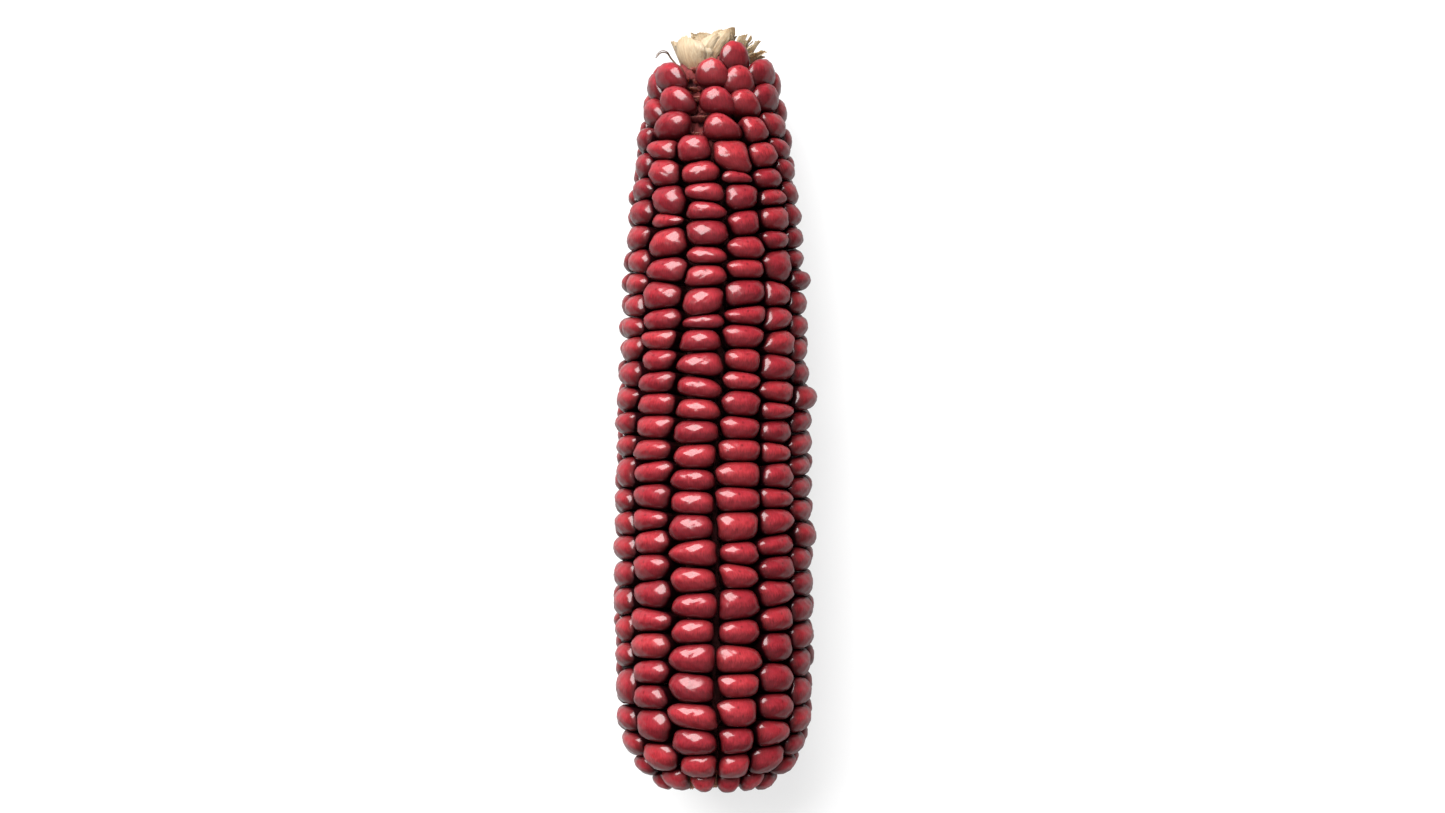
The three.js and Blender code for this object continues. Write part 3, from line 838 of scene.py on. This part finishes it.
def add_strand(shape, strand, stray):
    """A flat, twisted strand along SILK_PATH, thinner towards its end."""
    nodes = [polar(r, angle + 4 * stray, s + stray * n / 3)
             for n, (r, angle, s) in enumerate(SILK_PATH)]
    line = spline(nodes, SILK_RINGS)
    along = np.gradient(line, axis=0)
    along /= np.linalg.norm(along, axis=1)[:, None]
    side = np.cross(along, (0.3, 0.2, 0.93))
    side /= np.linalg.norm(side, axis=1)[:, None]
    up = np.cross(side, along)
    t = np.linspace(0, 1, SILK_RINGS)
    radius = SILK_RADIUS * (1 - 0.45 * t) * (1 - 0.3 * strand)
    points = []
    for i in range(SILK_RINGS):
        turn = np.linspace(0, 2 * math.pi, SILK_AROUND, endpoint=False) + 5 * t[i]
        wide = np.cos(turn)[:, None] * side[i]
        thick = SILK_FLATNESS * np.sin(turn)[:, None] * up[i]
        points.append(line[i] + radius[i] * (wide + thick))
    ends = [line[0], line[-1]]
    shape.add(np.concatenate([*points, ends]), tube_faces(SILK_RINGS, SILK_AROUND))


def build_silk(material):
    shape = Shape()
    for strand, stray in enumerate(SILK_STRANDS):
        add_strand(shape, strand, stray)
    shape.piece("silk", material, "dry_silk", "silk_strand")


# ---- Materials ----
def new_material(name):
    """A node material, as its shader, a function that adds a node and one that links sockets."""
    material = bpy.data.materials.new(name)
    material.use_nodes = True
    tree = material.node_tree
    shader = tree.nodes["Principled BSDF"]

    def node(kind, **values):
        made = tree.nodes.new(kind)
        for key, value in values.items():
            if key in made.inputs:
                made.inputs[key].default_value = value
            else:
                setattr(made, key, value)
        return made

    return material, shader, node, tree.links.new


def ramp(node, link, source, *stops):
    """A colour ramp fed by source; each stop is (position, (r, g, b))."""
    made = node("ShaderNodeValToRGB")
    elements = made.color_ramp.elements
    while len(elements) < len(stops):
        elements.new(0.5)
    for element, (position, colour) in zip(elements, stops):
        element.position = position
        element.color = (*colour, 1)
    link(source, made.inputs["Fac"])
    return made.outputs["Color"]


def mixed(node, link, kind, factor, one, two):
    """Two colours mixed; factor, one and two are sockets or plain values."""
    made = node("ShaderNodeMix", data_type="RGBA", blend_type=kind)
    # A Mix node has a set of sockets for each kind of data: 0 is the factor, 6 and 7 are colours.
    for socket, value in ((made.inputs[0], factor), (made.inputs[6], one), (made.inputs[7], two)):
        if isinstance(value, bpy.types.NodeSocket):
            link(value, socket)
        else:
            socket.default_value = value if isinstance(value, (int, float)) else (*value, 1)
    return made.outputs[2]


def set_inputs(node, **values):
    """Plain values for a node's sockets; an underscore stands for the space in a socket's name."""
    for name, value in values.items():
        node.inputs[name.replace("_", " ")].default_value = value


def remapped(node, link, source, from_min=0.0, from_max=1.0, to_min=0.0, to_max=1.0):
    """source, with one range of values mapped to another."""
    made = node("ShaderNodeMapRange")
    set_inputs(made, From_Min=from_min, From_Max=from_max, To_Min=to_min, To_Max=to_max)
    link(source, made.inputs["Value"])
    return made.outputs["Result"]


def attribute(node, name, output="Fac"):
    return node("ShaderNodeAttribute", attribute_name=name).outputs[output]


def noise(node, link, vector, scale, detail):
    made = node("ShaderNodeTexNoise", Scale=scale, Detail=detail)
    link(vector, made.inputs["Vector"])
    return made.outputs["Fac"]


def stretched(node, link, vector, scale):
    made = node("ShaderNodeMapping")
    made.inputs["Scale"].default_value = scale
    link(vector, made.inputs["Vector"])
    return made.outputs["Vector"]


def bump(node, link, height, strength, distance, normal=None):
    made = node("ShaderNodeBump", Strength=strength, Distance=distance)
    link(height, made.inputs["Height"])
    if normal is not None:
        link(normal, made.inputs["Normal"])
    return made.outputs["Normal"]


def kernel_material():
    """Hard, waxy red skin, brightest on the crown, with painted shade: maroon edges, near-black
    grooves.
    """
    material, shader, node, link = new_material("kernel_skin")
    skin = attribute(node, "skin", "Vector")
    # Painted shade by level: maroon towards the shoulder, nearly black down the walls in the
    # grooves.
    base = ramp(
        node, link, remapped(node, link, attribute(node, "level"), from_min=-1),
        (0.0, (0.10, 0.03, 0.015)),
        (0.3, (0.012, 0.002, 0.002)),
        (0.5, (0.010, 0.001, 0.002)),
        (0.6, (0.06, 0.004, 0.006)),
        (0.76, (0.13, 0.008, 0.011)),
        (0.9, (0.21, 0.012, 0.019)),
        (1.0, (0.23, 0.014, 0.021)),
    )
    streak_noise = noise(node, link, stretched(node, link, skin, (3.2, 0.7, 1)), 1.6, 4)
    streaks = ramp(node, link, streak_noise, (0.3, (0.66, 0.55, 0.6)), (0.7, (1.15, 1.25, 1.2)))
    base = mixed(node, link, "MULTIPLY", 0.7, base, streaks)
    dot = ramp(node, link, attribute(node, "scar"), (0.12, (0.3, 0.25, 0.25)), (0.34, (1, 1, 1)))
    base = mixed(node, link, "MULTIPLY", 0.8, base, dot)
    tones = ramp(
        node, link, attribute(node, "tone"),
        (0.0, (0.78, 0.7, 0.76)),
        (0.5, (1, 1, 1)),
        (1.0, (1.1, 1.25, 1.1)),
    )
    base = mixed(node, link, "MULTIPLY", 1.0, base, tones)
    # Painted shade: each kernel is darker towards the butt, on the faces turned away from the key
    # light, which comes from the tip side.
    shade_blend = node("ShaderNodeMath", operation="MULTIPLY_ADD")
    link(streak_noise, shade_blend.inputs[0])
    shade_blend.inputs[1].default_value = 0.5
    link(attribute(node, "germ"), shade_blend.inputs[2])
    painted_butt_shade = ramp(node, link, shade_blend.outputs[0], (0.0, (0.48, 0.48, 0.5)), (0.45, (1, 1, 1)))
    base = mixed(node, link, "MULTIPLY", 1.0, base, painted_butt_shade)
    link(base, shader.inputs["Base Color"])
    smudge = noise(node, link, skin, 0.9, 3)
    link(remapped(node, link, smudge, to_min=0.3, to_max=0.45), shader.inputs["Roughness"])
    fine = noise(node, link, stretched(node, link, skin, (5, 1.2, 1)), 2.2, 4)
    low = noise(node, link, skin, 0.55, 2)
    normal = bump(node, link, fine, 0.07, 0.0002)
    normal = bump(node, link, low, 0.18, 0.0005, normal)
    link(normal, shader.inputs["Normal"])
    set_inputs(shader, Subsurface_Weight=0.08, Subsurface_Radius=(1.0, 0.12, 0.08))
    set_inputs(shader, Subsurface_Scale=0.0015, Specular_IOR_Level=0.1)
    set_inputs(shader, Coat_Weight=0.68, Coat_Roughness=0.16, Coat_IOR=1.45)
    return material


FIBRES_PER_METRE = 1500
BARE_FROM, BARE_TO = 122, 129  # stations between which the bare stretch begins
SCAR_RADIUS = 9


def cob_material():
    """Woody dark red cob with chaffy rims, and the tan fibrous scar of the shank at the butt."""
    material, shader, node, link = new_material("cob_wood")
    place = node("ShaderNodeTexCoord").outputs["Object"]
    pit = attribute(node, "pit")
    fibres = noise(node, link, stretched(node, link, place, (1, 0.35, 1)), FIBRES_PER_METRE, 5)
    side = ramp(node, link, pit, (0.0, (0.14, 0.02, 0.02)), (0.6, (0.04, 0.005, 0.006)))
    grain = ramp(node, link, fibres, (0.35, (0.55, 0.5, 0.5)), (0.65, (1.25, 1.2, 1.15)))
    side = mixed(node, link, "MULTIPLY", 0.8, side, grain)
    # Painted shade: deep between the pressed kernels the cob is darkened, as if in their shadow; in
    # the bare stretch near the tip it is not.
    bare = remapped(node, link, attribute(node, "along"), BARE_FROM, BARE_TO)
    painted_shade_deep = ramp(node, link, bare, (0.0, (0.3, 0.22, 0.25)), (1.0, (1, 1, 1)))
    side = mixed(node, link, "MULTIPLY", 1.0, side, painted_shade_deep)
    scar = ramp(
        node, link, remapped(node, link, attribute(node, "reach"), from_max=SCAR_RADIUS),
        (0.0, (0.38, 0.24, 0.16)),
        (0.44, (0.46, 0.31, 0.2)),
        (0.53, (0.62, 0.47, 0.3)),
        (0.62, (0.36, 0.2, 0.12)),
        (0.8, (0.34, 0.13, 0.09)),
        (1.0, (0.2, 0.04, 0.035)),
    )
    bundles = node("ShaderNodeTexVoronoi", Scale=FIBRES_PER_METRE)
    link(place, bundles.inputs["Vector"])
    dots = ramp(
        node, link, bundles.outputs["Distance"],
        (0.1, (0.45, 0.38, 0.33)),
        (0.45, (1.1, 1.1, 1.1)),
    )
    scar = mixed(node, link, "MULTIPLY", 0.9, scar, dots)
    scar = mixed(node, link, "MULTIPLY", 0.5, scar, grain)
    butt = attribute(node, "butt")
    link(mixed(node, link, "MIX", butt, side, scar), shader.inputs["Base Color"])
    set_inputs(shader, Roughness=0.85, Specular_IOR_Level=0.3)
    link(bump(node, link, fibres, 0.8, 0.0004), shader.inputs["Normal"])
    return material


def chaff_material():
    """Dry papery scales: beige, veined, red-brown at the foot and where they sit on the cob."""
    material, shader, node, link = new_material("papery_chaff")
    tip = attribute(node, "tip")
    grain = attribute(node, "grain", "Vector")
    base = ramp(
        node, link, tip,
        (0.0, (0.21, 0.10, 0.06)),
        (0.3, (0.34, 0.26, 0.175)),
        (0.75, (0.38, 0.31, 0.22)),
        (1.0, (0.31, 0.235, 0.155)),
    )
    veins = ramp(
        node, link, attribute(node, "vein"),
        (0.0, (1.04, 1.04, 1.03)),
        (0.75, (0.94, 0.9, 0.86)),
        (1.0, (0.74, 0.64, 0.54)),
    )
    base = mixed(node, link, "MULTIPLY", 0.8, base, veins)
    mottled = noise(node, link, stretched(node, link, grain, (3, 0.6, 1)), 1.4, 5)
    spots = ramp(node, link, mottled, (0.35, (0.78, 0.68, 0.58)), (0.6, (1.08, 1.06, 1.02)))
    base = mixed(node, link, "MULTIPLY", 0.7, base, spots)
    red = ramp(
        node, link, tip,
        (0.0, (0.05, 0.007, 0.008)),
        (0.7, (0.12, 0.016, 0.018)),
        (1.0, (0.22, 0.05, 0.045)),
    )
    base = mixed(node, link, "MIX", attribute(node, "tint"), base, red)
    link(base, shader.inputs["Base Color"])
    set_inputs(shader, Roughness=0.6, Specular_IOR_Level=0.35, Subsurface_Weight=0.25)
    set_inputs(shader, Subsurface_Radius=(1.0, 0.7, 0.45), Subsurface_Scale=0.0008)
    link(bump(node, link, mottled, 0.35, 0.0003), shader.inputs["Normal"])
    return material


def silk_material():
    material, shader, node, link = new_material("dry_silk")
    place = node("ShaderNodeTexCoord").outputs["Object"]
    wear = noise(node, link, place, 900, 3)
    link(ramp(node, link, wear, (0.3, (0.05, 0.025, 0.015)), (0.7, (0.16, 0.09, 0.05))),
         shader.inputs["Base Color"])
    set_inputs(shader, Roughness=0.5)
    return material


# How bright the floor glows: to the camera, on the ear, and in its gloss.
GLOW_SEEN, GLOW_CAST, GLOW_IN_GLOSS = 0.68, 0.5, 0.05


def floor_material():
    material, shader, node, link = new_material("pale_floor")
    place = node("ShaderNodeTexCoord").outputs["Object"]
    faint = noise(node, link, place, 8, 4)
    link(ramp(node, link, faint, (0.3, (0.21, 0.21, 0.21)), (0.7, (0.22, 0.22, 0.22))),
         shader.inputs["Base Color"])
    set_inputs(shader, Roughness=0.9, Specular_IOR_Level=0.1, Emission_Color=(1, 1, 1, 1))
    # It glows a little, so that the shadow stays pale, but hardly so in the kernels' gloss.
    rays = node("ShaderNodeLightPath")
    seen = remapped(node, link, rays.outputs["Is Camera Ray"], to_min=GLOW_CAST, to_max=GLOW_SEEN)
    glow = node("ShaderNodeMapRange")
    glow.inputs["To Max"].default_value = GLOW_IN_GLOSS
    link(seen, glow.inputs["To Min"])
    link(rays.outputs["Is Glossy Ray"], glow.inputs["Value"])
    link(glow.outputs["Result"], shader.inputs["Emission Strength"])
    return material


# ---- Studio ----
FLOOR_HALF = 3.0
LIGHT_DISTANCE = 1.6
# Each light is the direction it comes from, the side of its square, and its power in watts.
KEY_LIGHT = ((-0.34, 0.53, 0.7), 1.5, 108.0)
FILL_LIGHT = ((0.55, -0.75, 0.45), 1.6, 18.0)
# The world's brightness between two heights: the lower height, the upper, and both strengths.
SKY = (0.1, 0.95, 0.08, 0.42)
BACKDROP = (0.0, 0.3, 0.74, 0.95)
PICTURE_HEIGHT = 158.5  # millimetres of the ear's plane that the picture spans
PICTURE_ASPECT = 1445 / 813
PICTURE_STATION = 76.1  # the station at the middle of the picture
PICTURE_RIGHT = 1.66  # how far right of the ear's axis that middle is
LENS, SENSOR = 100.0, 36.0


def centre_of_ear():
    low, high = cad_box
    return (Vector(low) + Vector(high)) / 2


def build_floor():
    half = FLOOR_HALF
    mesh = bpy.data.meshes.new("floor")
    corners = [(-half, -half, 0), (half, -half, 0), (half, half, 0), (-half, half, 0)]
    mesh.from_pydata(corners, [], [(0, 1, 2, 3)])
    mesh.materials.append(floor_material())
    floor = bpy.data.objects.new("floor", mesh)
    bpy.context.scene.collection.objects.link(floor)


def area_light(name, direction, side, power):
    data = bpy.data.lights.new(name, "AREA")
    data.shape = "SQUARE"
    data.size = side
    data.energy = power
    light = bpy.data.objects.new(name, data)
    away = Vector(direction).normalized()
    light.location = centre_of_ear() + away * LIGHT_DISTANCE
    light.rotation_euler = away.to_track_quat("Z", "Y").to_euler()
    bpy.context.scene.collection.objects.link(light)
    return light


def build_world():
    """Soft light that fades from above to the horizon, and a pale backdrop for the camera."""
    world = bpy.data.worlds.new("studio")
    bpy.context.scene.world = world
    world.use_nodes = True
    nodes, link = world.node_tree.nodes, world.node_tree.links.new
    direction = nodes.new("ShaderNodeSeparateXYZ")
    link(nodes.new("ShaderNodeTexCoord").outputs["Generated"], direction.inputs[0])
    sight = nodes.new("ShaderNodeMix")
    link(nodes.new("ShaderNodeLightPath").outputs["Is Camera Ray"], sight.inputs["Factor"])
    for socket, (low, high, dim, bright) in (("A", SKY), ("B", BACKDROP)):
        height = nodes.new("ShaderNodeMapRange")
        set_inputs(height, From_Min=low, From_Max=high, To_Min=dim, To_Max=bright)
        link(direction.outputs["Z"], height.inputs["Value"])
        link(height.outputs["Result"], sight.inputs[socket])
    background = nodes["Background"]
    set_inputs(background, Color=(1, 1, 1, 1))
    link(sight.outputs["Result"], background.inputs["Strength"])


def build_lights():
    area_light("key", *KEY_LIGHT)
    fill = area_light("fill", *FILL_LIGHT)
    fill.visible_glossy = False


def build_camera():
    """Straight above the ear, its tip at the top of the picture, a little right of its axis."""
    data = bpy.data.cameras.new("camera")
    data.lens = LENS
    data.sensor_width = SENSOR
    camera = bpy.data.objects.new("camera", data)
    low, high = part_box("cob")
    axis_x = (low.x + high.x) / 2
    distance = PICTURE_HEIGHT * MM * LENS * PICTURE_ASPECT / SENSOR
    middle = in_frame([(0, PICTURE_STATION, 0)])[0]
    camera.location = (axis_x + PICTURE_RIGHT * MM, middle[1], middle[2] + distance)
    bpy.context.scene.collection.objects.link(camera)
    bpy.context.scene.camera = camera
    bpy.context.scene.view_settings.view_transform = "Standard"


build_camera()
build_lights()
build_world()
build_floor()
build_kernels(kernel_material())
build_cob(cob_material())
chaff = chaff_material()
build_tip(chaff)
build_tip_chaff(chaff)
build_cob_chaff(chaff)
build_butt_chaff(chaff)
build_silk(silk_material())
